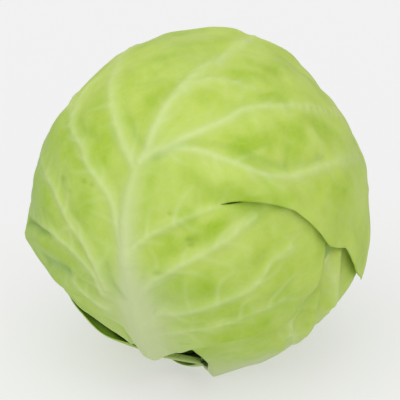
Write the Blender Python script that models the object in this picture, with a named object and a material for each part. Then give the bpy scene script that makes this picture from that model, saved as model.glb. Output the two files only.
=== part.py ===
"""Head of smooth green cabbage, lying tilted on its side with the cut stem down at the front.

Four big wrapper leaves are laid in turn over the packed inner head, each on top of the ones
before it, and all end round the stem. Lengths are metres and angles are degrees.
+Z is up, -Y is the front, and the origin is the middle of the flat spot that the head rests on.
"""

import math

import bmesh
import bpy
import numpy as np
from mathutils import Matrix, Vector

MM = 0.001

# Driving dimensions of the head.
HEART_RADIUS = 82.0 * MM
HEART_SQUASH = 0.03
BLADE = 1.2 * MM
MARGIN_BLADE = 0.9 * MM
LAYER_GAP = 1.3 * MM
FLAT_SPOT_DEPTH = 2.4 * MM
FLOOR_TRIM = 0.35 * MM
FLAT_SPREAD = (15.0, 26.0)

# Flats and swellings of the packed head: way round from +X, height, depth in mm and width.
HEART_SHAPE = [
    (185, -12, 2.4, 14), (208, -50, -3.4, 20), (163, 37, -3.6, 15), (177, 9, -1.8, 13), (8, 19, 1.5, 18),
    (129, 62, 1.8, 18), (-4, -12, -2.2, 13), (-20, -22, 2.2, 16), (80, 50, 1.2, 26), (60, -30, -1.6, 26),
]
# The flat spot is met only where a line from the head's middle points down more than this.
FLAT_REACH = 0.2

# The stem points down and forward, this far from straight down and this far left of the front.
STEM_LEAN = 28.5
STEM_TURN = 21.6
FRONT_ROLL = -3.0
STEM_RADIUS = 16.0 * MM
STEM_PROUD = 0.4 * MM
STEM_BEVEL = 1.2 * MM
STEM_TAPER = 0.94
STEM_CLEARANCE = 0.5 * MM

# A leaf is drawn in polar angles about a point on its midrib, this far up from the stem.
CHART_RISE = 47.3
# A leaf laid over a margin comes down between these angles outside it.
DRAPE = (16.0, 3.0)
FOLD_DRAPE = (6.0, 1.0)
RIB_SPREAD = 4.2 * MM
# Share of a vein's height that is left where leaves press on it, and room kept for it above.
RIB_PRESSED = 0.15
RIB_ROOM_PRESSED = 0.3
# The margin's waves: how far in they reach, and the reaches between which they set in.
WAVE_DEPTH = 9 * MM
WAVE_ONSET = (26, 40)
# Waves round the margin: how many, and how high each set is.
WAVES = [(7, 0.9), (12, 0.7), (19, 0.5)]
WAVE_BASE = 0.9
THIN_RIM = 0.15

# Outline of the front leaf: direction from the chart's centre, and how far the leaf reaches.
FRONT_OUTLINE = [
    (-90, 35), (-80, 33), (-71, 31), (-60, 30.4), (-52, 31.2), (-44, 34), (-37, 37.6), (-33, 41.7),
    (-30, 45.2), (-28, 51), (-26, 56.5), (-20, 60), (-14, 61.5), (-10, 65.5), (-3, 67.5), (5, 70), (12, 73),
]
FRONT_OUTLINE_TOP = [
    (-24, 91), (-10, 99), (0, 106), (13, 115), (30, 122), (45, 128), (60, 133), (75, 136), (90, 136),
    (105, 133), (120, 127), (135, 117), (150, 104), (160, 93), (170, 78), (176, 68), (181, 60),
    (187.5, 50), (192, 41), (194, 34), (198, 29.5), (206, 23), (216, 19.5), (228, 17.3), (239, 16),
    (249, 16.5), (256, 20.5), (261, 29), (265, 34), (270, 35),
]
# The tear in the front leaf runs along a vein: distance from the centre, direction of its upper
# edge, how far the lower lobe is tucked under it, and how high the upper lobe stands off.
TEAR = [
    (0, 49, 0, 0), (20, 49, 0, 0), (38, 49, 0, 0), (46.5, 47, 0, 0), (49, 44.8, -0.9, 1.0),
    (51.5, 42, -0.4, 2.2), (54, 38.5, 2.5, 3.0), (58, 33, 5, 3.4), (63, 25.5, 7, 3.6),
    (66, 17, 8, 3.6), (70, 5.5, 8, 3.2), (74, 2.0, 8, 2.6), (78, -0.5, 8, 2.2), (81, -8, 8, 2.4),
    (86, -17, 8, 2.8), (92, -24, 8, 2.8),
]
TEAR_TIP = 46.5
TEAR_SPREAD = 0.30
# The lift along the tear fades between these distances from it.
TEAR_LIFT = (12 * MM, 34 * MM)
# Rough reaches of the lower and the upper lobe, from which their true ones are found.
LOBE_START = (70.0, 91.0)
LOBE_ROUNDS = 16

# Veins of the front leaf: height and half width in mm, then distance and direction of its points.
FRONT_RIBS = [
    (5.5, 8.5, [(35, -89), (22, -86), (8, -76), (5, 75), (14, 88)]),
    (3.6, 5.5, [(14, 88), (25, 91), (34, 90.5), (44, 89), (50, 87)]),
    (2.2, 4.0, [(50, 87), (66, 85), (81, 83), (95, 79), (113, 76), (126, 76)]),
    (1.7, 3.6, [(46, 90), (54, 98), (61, 103), (70, 107), (82, 111), (92, 113.5), (108, 117)]),
    (1.6, 3.4, [(14, 93), (32.5, 100.5), (41.6, 108), (48, 114), (55, 117.5), (63.5, 124), (74, 128),
                (95, 138)]),
    (1.2, 3.0, [(66, 125), (80, 124), (89, 118), (104, 117)]),
    (1.5, 3.4, [(9, 160), (17, 135), (24, 131.5), (33.5, 136), (41, 137), (48, 139), (59, 144.5),
                (80, 152)]),
    (1.5, 3.4, [(10, 178), (15, 149), (22, 147), (30, 150.5), (39, 156), (50, 165), (60, 172)]),
    (1.3, 3.2, [(12, -149), (18, -170), (24.5, 178), (33, 177.5), (44, 181)]),
    (1.4, 3.2, [(20, 83), (26, 71), (33, 60), (43.5, 49.5)]),
    (2.2, 3.8, [(48, 88), (52, 83), (55.5, 76), (57.5, 67), (59.3, 55), (62.3, 43.5), (70, 34.5),
                (83.5, 28), (108, 16)]),
    (2.0, 3.8, [(53, 80), (56.4, 76.6), (61.3, 72), (68.4, 66), (74, 63), (79.4, 60), (86.5, 53),
                (99.6, 42), (114, 31)]),
    (1.3, 3.6, [(72, 84.5), (80, 81), (85, 77.6), (88.4, 70), (89, 62)]),
    (1.8, 4.2, [(5, 34), (11.5, 44), (17, 40), (28, 36), (41, 33.4), (52, 33)]),
    (1.4, 3.4, [(10, -50), (11, -30), (17, -14), (26, -4), (34, 0), (40, 2.4), (45, 7.7), (50, 12),
                (58, 13)]),
    (1.0, 3.2, [(17.7, -66), (20, -39), (31, -22), (40, -14.5), (52, -8)]),
]

# Outline and veins of the other wrapper leaves, right half; the left half mirrors it.
PLAIN_OUTLINE = [
    (-90, 33.8), (-78, 35.6), (-71, 40), (-64, 46), (-56, 54), (-46, 60), (-33, 65), (-15, 75), (0, 85),
    (15, 93), (28, 103), (44, 117), (64, 130), (90, 135),
]
PLAIN_SIDE_RIBS = [
    (1.3, 3.2, [(7, -45), (18, -16), (35, -9), (58, -3)]),
    (1.5, 3.4, [(7, 28), (20, 28), (45, 22), (76, 12)]),
    (1.6, 3.4, [(22, 83), (31, 66), (50, 50), (84, 34)]),
    (1.5, 3.4, [(48, 86), (57, 74), (76, 58), (102, 46)]),
    (1.2, 3.0, [(76, 87), (85, 78), (100, 68), (114, 60)]),
]
PLAIN_MIDRIB = [
    (5.0, 8.0, [(34, -90), (18, -90), (3, -90), (14, 90)]),
    (3.2, 5.0, [(14, 90), (30, 90), (52, 89)]),
    (2.0, 3.6, [(52, 89), (80, 91), (118, 90)]),
]
# Crumples where the right leaf's margin is caught under the front leaf, in the same form as ribs.
RIGHT_CRUMPLES = [
    (2.8, 4.0, [(50, 153), (42, 154), (36, 154), (28, 158)]),
    (-1.6, 3.4, [(50, 161), (44.5, 162), (38.5, 165), (31.5, 166)]),
    (3.0, 4.0, [(39, 168.5), (31, 174), (20, 184), (11, 194)]),
    (-1.8, 3.4, [(31.5, 180), (24, 190), (17, 200)]),
    (2.2, 4.0, [(27, 203), (20, 210), (14, 226)]),
]
# The packed leaves under the wrappers: how they stand round the stem, and their margins' steps.
PACKED_TURNS = (40, 165, 285)
PACKED_SHORTER = 14
PACKED_DROP = 2.4 * MM
PACKED_STEP = 0.8 * MM

# Columns round and rings out of each leaf's grid.
LEAF_GRIDS = {"leaf_front": (80, 18), "leaf_right": (56, 13), "leaf_left": (44, 11), "leaf_back": (44, 12)}

LEAF_GREEN = (0.43, 0.60, 0.14)
HEART_GREEN = (0.60, 0.71, 0.30)
STEM_CREAM = (0.66, 0.70, 0.40)


def smoothstep(low, high, value):
    t = np.clip((value - low) / (high - low), 0.0, 1.0)
    return t * t * (3.0 - 2.0 * t)


def unit(vector):
    return vector / np.linalg.norm(vector)


def head_axes():
    """The stem's direction, the front leaf's side of the head, and its right-hand side."""
    lean, turn, roll = np.radians([STEM_LEAN, STEM_TURN, FRONT_ROLL])
    stem = np.array([-math.sin(lean) * math.sin(turn), -math.sin(lean) * math.cos(turn), -math.cos(lean)])
    top = unit(np.array([0.0, 0.0, 1.0]) - np.dot([0.0, 0.0, 1.0], stem) * stem)
    side = np.cross(top, stem)
    front = math.cos(roll) * top + math.sin(roll) * side
    return stem, front, np.cross(front, stem)


STEM_WAY, FRONT_WAY, SIDE_WAY = head_axes()


def polar_table(points):
    """A closed outline given by a few points, as a smooth reach for each whole degree."""
    angles, reaches = np.array(points, float).T
    degrees = np.arange(360.0)
    reach = np.interp(degrees, angles % 360, reaches, period=360)
    window = np.hanning(9)[1:-1]
    wrapped = np.concatenate([reach[-3:], reach, reach[:3]])
    return np.convolve(wrapped, window / window.sum(), "valid")


class Leaf:
    """One wrapper leaf: where its midrib runs, its outline, its veins and the layers round it."""

    def __init__(self, name, azimuth, outline, ribs, folds=(), torn=False, frill=1.0, seed=1):
        self.name = name
        turn, rise = math.radians(azimuth), math.radians(CHART_RISE)
        front = math.cos(turn) * FRONT_WAY + math.sin(turn) * SIDE_WAY
        self.across = -math.sin(turn) * FRONT_WAY + math.cos(turn) * SIDE_WAY
        self.centre = math.cos(rise) * STEM_WAY + math.sin(rise) * front
        self.along = -math.sin(rise) * STEM_WAY + math.cos(rise) * front
        self.outline = polar_table(outline)
        self.torn = torn
        self.frill = frill
        self.ribs = [(h * MM, w * MM, self.route(points)) for h, w, points in ribs]
        self.folds = [(h * MM, w * MM, self.route(points)) for h, w, points in folds]
        self.phases = np.random.default_rng(seed).uniform(0, 2 * math.pi, len(WAVES))
        self.below = []
        self.above = []

    def direction(self, distance, angle):
        r, a = np.radians(distance), np.radians(angle)
        out = np.cos(a)[..., None] * self.across + np.sin(a)[..., None] * self.along
        return np.cos(r)[..., None] * self.centre + np.sin(r)[..., None] * out

    def polar(self, ways):
        distance = np.degrees(np.arccos(np.clip(ways @ self.centre, -1, 1)))
        return distance, np.degrees(np.arctan2(ways @ self.along, ways @ self.across))

    def route(self, points, steps=5):
        """A vein's points as unit vectors, with a few more between them."""
        corners = self.direction(*np.array(points, float).T)
        at = np.linspace(0, len(points) - 1, (len(points) - 1) * steps + 1)
        smooth = np.stack([np.interp(at, range(len(points)), corners[:, k]) for k in range(3)], 1)
        smooth[1:-1] = (smooth[:-2] + 2 * smooth[1:-1] + smooth[2:]) / 4
        return smooth / np.linalg.norm(smooth, axis=1)[:, None]

    def reach(self, angle):
        return np.interp(angle % 360, np.arange(361.0), np.append(self.outline, self.outline[0]))

    def cover(self, ways):
        """1 where this leaf lies, easing to 0 just outside its margin."""
        distance, angle = self.polar(ways)
        return smoothstep(-DRAPE[0], -DRAPE[1], self.reach(angle) - distance)

    def pressed(self, ways):
        """1 where nothing lies on this leaf, and less where leaves or the floor press it flat."""
        free = smoothstep(*FLAT_SPREAD, np.degrees(np.arccos(np.clip(-ways[:, 2], -1, 1))))
        for leaf in self.above:
            free *= 1.0 - leaf.cover(ways)
        return free

    def rib_height(self, ways, only_midrib=False):
        height = np.zeros(len(ways))
        for number, (tall, wide, route) in enumerate(self.ribs):
            if only_midrib and number > 0:
                break
            spread = max(wide, RIB_SPREAD)
            profile = tall * np.exp(-((gap_to(ways, route) / spread) ** 2))
            height = np.maximum(height, profile)
        return height

    def fold_height(self, ways):
        """Height of the margin's crumples, which stop where a leaf above lies on them."""
        height = np.zeros(len(ways))
        for tall, wide, route in self.folds:
            height += tall * np.exp(-((gap_to(ways, route) / wide) ** 2))
        for leaf in self.above:
            distance, angle = leaf.polar(ways)
            height *= 1.0 - smoothstep(-FOLD_DRAPE[0], -FOLD_DRAPE[1], leaf.reach(angle) - distance)
        return height


def gap_to(ways, route):
    """Distance on the head from each direction to a vein."""
    best = np.full(len(ways), np.inf)
    for start, end in zip(route[:-1], route[1:]):
        run = end - start
        t = np.clip((ways - start) @ run / (run @ run), 0, 1)
        best = np.minimum(best, np.linalg.norm(ways - start - t[:, None] * run, axis=1))
    return best * HEART_RADIUS


def heart_radius(ways):
    """The packed inner head: a ball pressed a little along the stem's line and flat below."""
    radius = HEART_RADIUS * (1.0 - HEART_SQUASH * (ways @ STEM_WAY) ** 2)
    for turn, height, depth, width in HEART_SHAPE:
        a, b = math.radians(turn), math.radians(height)
        peak = np.array([math.cos(a) * math.cos(b), math.sin(a) * math.cos(b), math.sin(b)])
        radius += depth * MM * np.exp((ways @ peak - 1.0) / (1.0 - math.cos(math.radians(width))))
    down = np.maximum(-ways[:, 2], FLAT_REACH)
    flat = (HEART_RADIUS * (1.0 - HEART_SQUASH * STEM_WAY[2] ** 2) - FLAT_SPOT_DEPTH) / down
    return np.minimum(radius, flat)


def bed_radius(leaf, ways):
    """How far out the leaf's inner face lies: on the heart and every leaf already laid."""
    radius = heart_radius(ways) + LAYER_GAP
    for lower in leaf.below:
        room = RIB_ROOM_PRESSED + (1 - RIB_ROOM_PRESSED) * lower.pressed(ways)
        rib = lower.rib_height(ways, only_midrib=True) * room
        radius += lower.cover(ways) * (BLADE + LAYER_GAP + rib)
    return radius


def tear_at(distance):
    """Upper edge's direction, tuck of the lower lobe and lift of the upper one, at a distance."""
    table = np.array(TEAR, float)
    return [np.interp(distance, table[:, 0], table[:, column]) for column in (1, 2, 3)]


def lay_out(leaf, turn, out):
    """Distance and direction in the leaf's chart for each vertex of its rolled-out grid."""
    if not leaf.torn:
        angle = 360.0 * turn
        return out * leaf.reach(angle), angle
    start = TEAR[0][1]
    lower = turn >= 0.5
    near = 1.0 - smoothstep(0.0, TEAR_SPREAD, np.minimum(turn, 1.0 - turn))

    def bearing(distance):
        edge, tuck, _ = tear_at(distance)
        return start + 360.0 * turn + (edge - start + np.where(lower, tuck, 0.0)) * near

    reach = np.where(lower, *LOBE_START)
    for _ in range(LOBE_ROUNDS):
        reach = 0.5 * reach + 0.5 * lobe_reach(bearing(reach), lower)
    knee = 0.5 * reach * (1.0 - near) + TEAR_TIP * near
    distance = np.where(out < 0.5, knee * out * 2, knee + (reach - knee) * (out - 0.5) * 2)
    return distance, bearing(distance)


def lobe_reach(angle, lower):
    """How far the torn leaf reaches: the lobe over the tear runs on past the one under it."""
    top_angles, top_reaches = np.array(FRONT_OUTLINE_TOP, float).T
    low_angles, low_reaches = np.array(FRONT_OUTLINE, float).T
    top = np.interp(angle, top_angles, top_reaches)
    low = np.interp(angle - 360.0, low_angles, low_reaches)
    return np.where(lower & (angle > 270.0), low, top)


def stand_off(leaf, turn, out, distance, angle):
    """How far the blade lifts off its bed: at the waved margin and along the tear."""
    reach = leaf.reach(angle)
    from_margin = np.clip(1.0 - out, 0, 1) * reach * HEART_RADIUS * math.pi / 180
    wave = np.full(len(angle), WAVE_BASE)
    for (count, height), phase in zip(WAVES, leaf.phases):
        wave += height * np.sin(count * np.radians(angle) + phase)
    lift = leaf.frill * MM * np.maximum(wave, 0.0) * np.exp(-((from_margin / WAVE_DEPTH) ** 2))
    lift *= smoothstep(*WAVE_ONSET, reach)
    if leaf.torn:
        edge, _, rise = tear_at(distance)
        side = (angle - edge) * np.sin(np.radians(distance)) * HEART_RADIUS * math.pi / 180
        lift += np.where(turn < 0.5, rise * MM * (1 - smoothstep(*TEAR_LIFT, side)), 0.0)
    return lift


def leaf_faces(leaf, turn, out):
    """Inner and outer position of each vertex, from the head's centre."""
    distance, angle = lay_out(leaf, turn, out)
    ways = leaf.direction(distance, angle)
    free = leaf.pressed(ways)
    inner = bed_radius(leaf, ways) + stand_off(leaf, turn, out, distance, angle) * free
    inner += leaf.fold_height(ways)
    blade = MARGIN_BLADE + (BLADE - MARGIN_BLADE) * smoothstep(0.0, THIN_RIM, 1.0 - out)
    outer = inner + blade + leaf.rib_height(ways) * (RIB_PRESSED + (1 - RIB_PRESSED) * free)
    return ways * inner[:, None], ways * outer[:, None]


def material(name, colour, roughness):
    made = bpy.data.materials.new(name)
    made.use_nodes = True
    shader = made.node_tree.nodes["Principled BSDF"]
    shader.inputs["Base Color"].default_value = (*colour, 1.0)
    shader.inputs["Roughness"].default_value = roughness
    shader.inputs["Metallic"].default_value = 0.0
    return made


def finish_object(name, bm, collection, skin):
    """A mesh from the bmesh, shaded smooth, as a named object with its material."""
    mesh = bpy.data.meshes.new(name)
    bm.to_mesh(mesh)
    bm.free()
    mesh.materials.append(skin)
    mesh.shade_smooth()
    mesh.set_sharp_from_angle(angle=math.radians(50))
    made = bpy.data.objects.new(name, mesh)
    collection.objects.link(made)
    return made


def leaf_solid(leaf, columns, rings, head_centre):
    """A grid rolled into a disc about the leaf's chart centre, then thickened by an extrusion."""
    bm = bmesh.new()
    bmesh.ops.create_grid(bm, x_segments=columns, y_segments=rings, size=0.5)
    keep_turn = bm.verts.layers.float.new("turn")
    keep_out = bm.verts.layers.float.new("out")
    for vert in bm.verts:
        vert[keep_turn] = vert.co.x + 0.5
        vert[keep_out] = vert.co.y + 0.5

    def place(verts, outer):
        turn = np.array([v[keep_turn] for v in verts])
        out = np.array([v[keep_out] for v in verts])
        points = leaf_faces(leaf, turn, out)[outer] + head_centre
        points[:, 2] = np.maximum(points[:, 2], 0.0 if outer else MARGIN_BLADE)
        for vert, point in zip(verts, points):
            vert.co = point

    place(bm.verts, False)
    bmesh.ops.remove_doubles(bm, verts=bm.verts, dist=1e-6)
    bmesh.ops.triangulate(bm, faces=bm.faces)
    raised = bmesh.ops.extrude_face_region(bm, geom=bm.faces[:], use_keep_orig=True)
    place([v for v in raised["geom"] if isinstance(v, bmesh.types.BMVert)], True)
    bmesh.ops.recalc_face_normals(bm, faces=bm.faces)
    return bm


def heart_solid(head_centre):
    """The packed inner head: one ball of leaves, with their margins as steps in its surface."""
    bm = bmesh.new()
    bmesh.ops.create_icosphere(bm, subdivisions=4, radius=1.0)
    ways = np.array([v.co.normalized() for v in bm.verts])
    radius = heart_radius(ways) - PACKED_DROP
    for azimuth in PACKED_TURNS:
        packed = Leaf("packed", azimuth, mirrored(PLAIN_OUTLINE), [])
        distance, angle = packed.polar(ways)
        radius += PACKED_STEP * smoothstep(-2, 2, packed.reach(angle) - PACKED_SHORTER - distance)
    for vert, point in zip(bm.verts, ways * radius[:, None] + head_centre):
        vert.co = point
    return bm


def stem_solid(head_centre, inner_end, outer_end):
    """The cut stump: a short round peg through the leaf bases, with a broken edge at the cut."""
    bm = bmesh.new()
    bmesh.ops.create_cone(bm, cap_ends=True, segments=32, radius1=STEM_RADIUS,
                          radius2=STEM_RADIUS * STEM_TAPER, depth=outer_end - inner_end)
    rim = [e for e in bm.edges if all(v.co.z < 0 for v in e.verts)]
    bmesh.ops.bevel(bm, geom=rim, offset=STEM_BEVEL, segments=2, profile=0.5, affect="EDGES", material=-1)
    turn = Vector((0, 0, -1)).rotation_difference(Vector(STEM_WAY)).to_matrix().to_4x4()
    middle = Vector(head_centre + STEM_WAY * (inner_end + outer_end) / 2)
    bmesh.ops.transform(bm, matrix=Matrix.Translation(middle) @ turn, verts=bm.verts)
    return bm


def mirrored(half):
    """A full outline from its right half."""
    return half + [(180 - angle, reach) for angle, reach in half if abs(angle) != 90]


def plain_ribs(seed):
    """Midrib and side veins of a wrapper leaf, with the small unevenness of a grown one."""
    draw = np.random.default_rng(seed)
    ribs = list(PLAIN_MIDRIB)
    for side in (1, -1):
        for tall, wide, points in PLAIN_SIDE_RIBS:
            shift, stretch = draw.uniform(-4, 4), draw.uniform(0.94, 1.06)
            angles = [angle + shift * k / 2 for k, (_, angle) in enumerate(points)]
            moved = [(d * stretch, a if side > 0 else 180 - a) for (d, _), a in zip(points, angles)]
            ribs.append((tall, wide, moved))
    return ribs


def shortened(outline, tip, side=1.0):
    """The plain outline with another reach at the tip and at the sides."""
    factors = [np.interp(angle, (-45, -10, 10, 60), (1.0, side, side, tip)) for angle, _ in outline]
    return [(angle, reach * factor) for (angle, reach), factor in zip(outline, factors)]


def wrapper_leaves():
    """The leaves from the innermost to the outermost, each told what lies under and over it."""
    left = Leaf("leaf_left", -108, mirrored(shortened(PLAIN_OUTLINE, 1.10, 1.03)), plain_ribs(5),
                frill=1.2, seed=5)
    back = Leaf("leaf_back", -170, mirrored(shortened(PLAIN_OUTLINE, 1.0, 0.9)), plain_ribs(8),
                frill=1.5, seed=8)
    right = Leaf("leaf_right", 126, mirrored(shortened(PLAIN_OUTLINE, 0.98, 1.05)), plain_ribs(3),
                 folds=RIGHT_CRUMPLES, frill=1.5, seed=3)
    front = Leaf("leaf_front", 0, FRONT_OUTLINE[:-2] + FRONT_OUTLINE_TOP[3:-1], FRONT_RIBS,
                 torn=True, frill=0.8, seed=2)
    leaves = [left, back, right, front]
    for level, leaf in enumerate(leaves):
        leaf.below = leaves[:level]
        leaf.above = leaves[level + 1:]
    return leaves


def build():
    for old in list(bpy.data.objects):
        bpy.data.objects.remove(old, do_unlink=True)
    collection = bpy.data.collections.new("cabbage_head")
    bpy.context.scene.collection.children.link(collection)
    leaf_skin = material("leaf", LEAF_GREEN, 0.45)

    leaves = wrapper_leaves()
    front, resting = leaves[3], leaves[2]
    down = np.array([[0.0, 0.0, -1.0]])
    head_centre = np.array([0.0, 0.0, float(bed_radius(resting, down)[0]) + BLADE - FLOOR_TRIM])
    for leaf in leaves:
        bm = leaf_solid(leaf, *LEAF_GRIDS[leaf.name], head_centre)
        finish_object(leaf.name, bm, collection, leaf_skin)

    finish_object("heart", heart_solid(head_centre), collection, material("heart", HEART_GREEN, 0.5))
    pole = STEM_WAY[None, :]
    inner_end = float(heart_radius(pole)[0]) + STEM_CLEARANCE
    outer_end = float(bed_radius(front, pole)[0]) + BLADE + STEM_PROUD
    stem = stem_solid(head_centre, inner_end, outer_end)
    finish_object("stem", stem, collection, material("stem", STEM_CREAM, 0.6))


build()
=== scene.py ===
"""Looks of a smooth-leaved green head cabbage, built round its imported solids.

Every wrapper leaf, the inner head and the stem are modelled again as fine meshes that keep the
solids' form: each leaf is a polar chart about a point on its midrib, laid over the leaves below.
"""

import math

import bmesh
import bpy
import numpy as np
from mathutils import Matrix, Vector


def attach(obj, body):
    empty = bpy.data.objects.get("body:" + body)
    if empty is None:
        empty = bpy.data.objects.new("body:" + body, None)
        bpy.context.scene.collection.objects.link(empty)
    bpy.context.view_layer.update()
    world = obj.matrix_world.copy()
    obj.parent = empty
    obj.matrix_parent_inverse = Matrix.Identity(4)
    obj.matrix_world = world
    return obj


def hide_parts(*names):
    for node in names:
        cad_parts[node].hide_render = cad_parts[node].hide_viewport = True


bl_info = {
    "name": "Green head cabbage",
    "version": (1, 0, 0),
    "blender": (4, 5, 0),
    "location": "3D View > Sidebar > Cabbage",
    "description": "Wrapper leaves, inner head, cut stem and studio for a head of green cabbage",
    "category": "Add Mesh",
}

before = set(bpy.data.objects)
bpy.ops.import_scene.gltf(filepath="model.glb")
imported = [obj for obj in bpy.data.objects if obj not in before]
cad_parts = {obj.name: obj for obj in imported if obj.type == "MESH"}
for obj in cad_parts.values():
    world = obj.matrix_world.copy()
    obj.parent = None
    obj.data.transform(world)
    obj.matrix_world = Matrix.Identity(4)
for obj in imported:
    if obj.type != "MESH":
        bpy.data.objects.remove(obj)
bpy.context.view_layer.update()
MM = 0.001

# Form of the head, in the same driving dimensions as the solids.
HEART_RADIUS = 82.0 * MM
HEART_SQUASH = 0.03
LAYER_GAP = 1.3 * MM
FLAT_SPOT_DEPTH = 2.4 * MM
FLOOR_TRIM = 0.35 * MM
FLAT_SPREAD = (15.0, 26.0)
CAD_BLADE = 1.2 * MM
HEART_SHAPE = [
    (185, -12, 2.4, 14), (208, -50, -3.4, 20), (163, 37, -3.6, 15), (177, 9, -1.8, 13), (8, 19, 1.5, 18),
    (129, 62, 1.8, 18), (-4, -12, -2.2, 13), (-20, -22, 2.2, 16), (80, 50, 1.2, 26), (60, -30, -1.6, 26),
]
# The flat spot is met only where a line from the head's middle points down more than this.
FLAT_REACH = 0.2
STEM_LEAN = 28.5
STEM_TURN = 21.6
FRONT_ROLL = -3.0
CHART_RISE = 47.3
DRAPE = (16.0, 3.0)
FOLD_DRAPE = (6.0, 1.0)
RIB_PRESSED = 0.15
RIB_ROOM_PRESSED = 0.3
WAVE_DEPTH = 9 * MM
WAVE_ONSET = (26, 40)
WAVES = [(7, 0.9), (12, 0.7), (19, 0.5)]
WAVE_BASE = 0.9
FLOOR_BLADE = 0.8 * MM
BLADE_RIM = 0.45 * MM
BLADE_MIDDLE = 1.1 * MM
THIN_RIM = 0.06
PUFF = 0.75 * MM
TWIG_HEIGHT = 0.22 * MM
VEIN_TAPER = 0.45
PALE_VEIN = 1.9 * MM
PALE_SPREAD = 1.05
STEM_RADIUS = 16.0 * MM
STEM_PROUD = 0.4 * MM
STEM_TAPER = 0.94
STEM_CLEARANCE = 0.5 * MM
STEM_BEVEL = 1.2 * MM
FLOOR_HALF = 4.0

# Patches of the front leaf where the green is fuller: distance, direction, size in degrees, strength.
FRONT_PATCHES = [
    (90.6, 55.1, 7.0, 0.9), (55.4, 37.5, 4.5, 1.0), (60, 31, 4.0, 0.85), (36.6, 55.3, 4.0, 0.95),
    (39.5, 43.3, 4.5, 1.0), (75.2, 88.4, 7.0, 0.75), (56.7, 104.3, 5.0, 0.85), (47.8, 56.5, 6.0, 0.8),
    (94.3, 67.5, 7.0, 0.7), (96.1, 34.8, 7.0, 0.7), (67.1, 50.8, 6.5, 0.95), (83.3, 41.6, 6.5, 0.7),
    (27.2, 13.1, 5.0, 0.75), (24.4, -27.3, 6.5, 0.9), (35.9, -15.5, 6.0, 0.8), (48, 108, 6.0, 0.8),
    (33, 118, 5.0, 0.6), (41, 150, 6.0, 0.35), (64, 128, 8.0, 0.8), (49, 118, 5.0, 0.6),
    (28, 60, 4.5, 0.6), (20, 30, 4.0, 0.5), (45, 15, 5.0, 0.35), (52, -8, 4.5, 0.6), (36, -33, 5.0, 0.7),
    (45, -24, 5.0, 0.7), (80, 62, 5.0, 0.6), (104, 60, 7.0, 0.5), (86, 18, 6.0, 0.5), (70, 112, 5.0, 0.6),
]
# Small bruises and rubs of the front leaf, in the same form.
FRONT_BRUISES = [
    (35, 65, 1.3, 0.5), (31.5, 47, 1.2, 0.75), (30.5, 44, 0.9, 0.6), (15.7, 47.5, 1.1, 0.5),
    (46.9, 130.4, 1.6, 0.6), (41.1, 126.7, 1.3, 0.45), (42.2, 116.4, 1.2, 0.55), (40.6, 112.2, 1.0, 0.5),
    (24.3, -55, 0.8, 0.4), (25.5, -51.5, 0.8, 0.4), (84.7, 31.4, 1.4, 0.35), (87, 15.8, 1.4, 0.35),
]
# Creases pressed into the front leaf by its neighbours: depth and half width in mm, then points.
FRONT_CREASES = [
    (-1.5, 1.8, [(60, 176), (50, 168), (43.4, 163.4), (38, 159)]),
    (1.6, 4.0, [(64, 183), (54, 178), (46, 172), (41, 168)]),
    (-2.4, 3.4, [(40, 180), (33, 177), (27, 174.5)]),
    (-0.8, 2.4, [(14, 124), (8, 138), (3, 160)]),
    (-0.5, 1.6, [(81.5, 46), (76, 41), (70.1, 36.2)]),
    (-0.5, 1.6, [(89, 98), (94, 93.7), (99, 89.4)]),
    (-0.5, 1.6, [(77, 101), (81, 90.8), (83, 84.5)]),
    (-0.9, 2.2, [(50, 82), (57.5, 73), (63.5, 58), (66, 46), (73, 36), (86, 29.5)]),
    (-0.7, 2.0, [(52.4, 87.6), (57.2, 94), (63.2, 99), (70.6, 103.4), (77.6, 106.2)]),
    (-0.7, 2.0, [(56, 110), (62, 119), (70, 123)]),
]
# Fine veins that branch off the raised ones: spacing along them, length and turn, in degrees.
TWIG_PITCH = 5.0
TWIG_LENGTH = (6.0, 15.0)
TWIG_TURN = (38.0, 68.0)
TWIG_HALF_WIDTH = 1.3 * MM
# Sun lamps with a wide, soft disc: name, height and bearing of the light, disc width, strength.
STUDIO_SUNS = [
    ("overhead key", 68.0, -112.0, 70.0, 1.0),
    ("front fill", 24.0, -84.0, 80.0, 0.42),
]

# Outline of the front leaf: direction from the chart's centre, and how far the leaf reaches.
FRONT_OUTLINE = [
    (-90, 35), (-80, 33), (-71, 31), (-60, 30.4), (-52, 31.2), (-44, 34), (-37, 37.6), (-33, 41.7),
    (-30, 45.2), (-28, 51), (-26, 56.5), (-20, 60), (-14, 61.5), (-10, 65.5), (-3, 67.5), (5, 70), (12, 73),
]
FRONT_OUTLINE_TOP = [
    (-24, 91), (-10, 99), (0, 106), (13, 115), (30, 122), (45, 128), (60, 133), (75, 136), (90, 136),
    (105, 133), (120, 127), (135, 117), (150, 104), (160, 93), (170, 78), (176, 68), (181, 60),
    (187.5, 50), (192, 41), (194, 34), (198, 29.5), (206, 23), (216, 19.5), (228, 17.3), (239, 16),
    (249, 16.5), (256, 20.5), (261, 29), (265, 34), (270, 35),
]
# The tear in the front leaf runs along a vein: distance from the centre, direction of its upper
# edge, how far the lower lobe is tucked under it, and how high the upper lobe stands off.
TEAR = [
    (0, 49, 0, 0), (20, 49, 0, 0), (38, 49, 0, 0), (46.5, 47, 0, 0), (49, 44.8, -0.9, 1.0),
    (51.5, 42, -0.4, 2.2), (54, 38.5, 2.5, 3.0), (58, 33, 5, 3.4), (63, 25.5, 7, 3.6),
    (66, 17, 8, 3.6), (70, 5.5, 8, 3.2), (74, 2.0, 8, 2.6), (78, -0.5, 8, 2.2), (81, -8, 8, 2.4),
    (86, -17, 8, 2.8), (92, -24, 8, 2.8),
]
TEAR_TIP = 46.5
TEAR_SPREAD = 0.30
# The lift along the tear fades between these distances from it.
TEAR_LIFT = (12 * MM, 34 * MM)
# Rough reaches of the lower and the upper lobe, from which their true ones are found.
LOBE_START = (70.0, 91.0)
LOBE_ROUNDS = 16

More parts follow.
